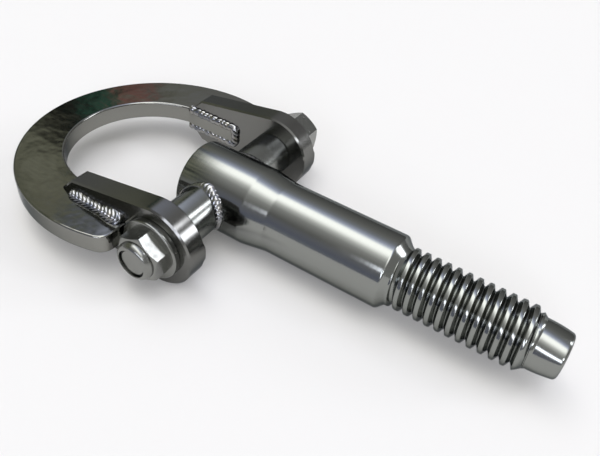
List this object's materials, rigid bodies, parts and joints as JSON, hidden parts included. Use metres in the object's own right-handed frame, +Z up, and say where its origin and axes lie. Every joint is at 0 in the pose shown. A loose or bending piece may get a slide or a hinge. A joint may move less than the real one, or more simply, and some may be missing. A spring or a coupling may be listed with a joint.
{
  "type": "folding tow eye",
  "caption": "Screw-in towing eye: a coarse-threaded steel shank with a welded cross sleeve, and a flat ring on lugs that folds about a through bolt.",
  "frame": {"origin": "on the shank's axis where the thread leaves the shoulder", "axes": "+X along the thread to its tip, +Y along the pivot bolt to its head, +Z up, square to the flat ring"},
  "size_m": [0.174, 0.0866, 0.0254],
  "materials": {
    "stainless_steel": "turned and polished stainless steel",
    "weld_steel": "bright rippled weld bead with a faint heat tint",
    "fastener_steel": "bright stainless fastener",
    "nylon": "dark moulded nylon"
  },
  "bodies": {
    "shank": {"shank": "stainless_steel", "pivot_sleeve": "stainless_steel", "nut_side_sleeve_weld": "weld_steel", "head_side_sleeve_weld": "weld_steel"},
    "eye": {"eye_plate": "stainless_steel", "nut_side_lug": "stainless_steel", "head_side_lug": "stainless_steel", "nut_side_lug_welds": "weld_steel", "head_side_lug_welds": "weld_steel", "pivot_bolt": "fastener_steel", "nut_side_washer": "fastener_steel", "head_side_washer": "fastener_steel", "lock_nut": "fastener_steel", "lock_nut_insert": "nylon"}
  },
  "joints": [
    {"name": "eye_fold", "type": "hinge", "parent": "shank", "child": "eye", "pos_m": [-0.059, 0, 0], "axis": [0, 1, 0], "range_deg": [-165, 165]}
  ]
}
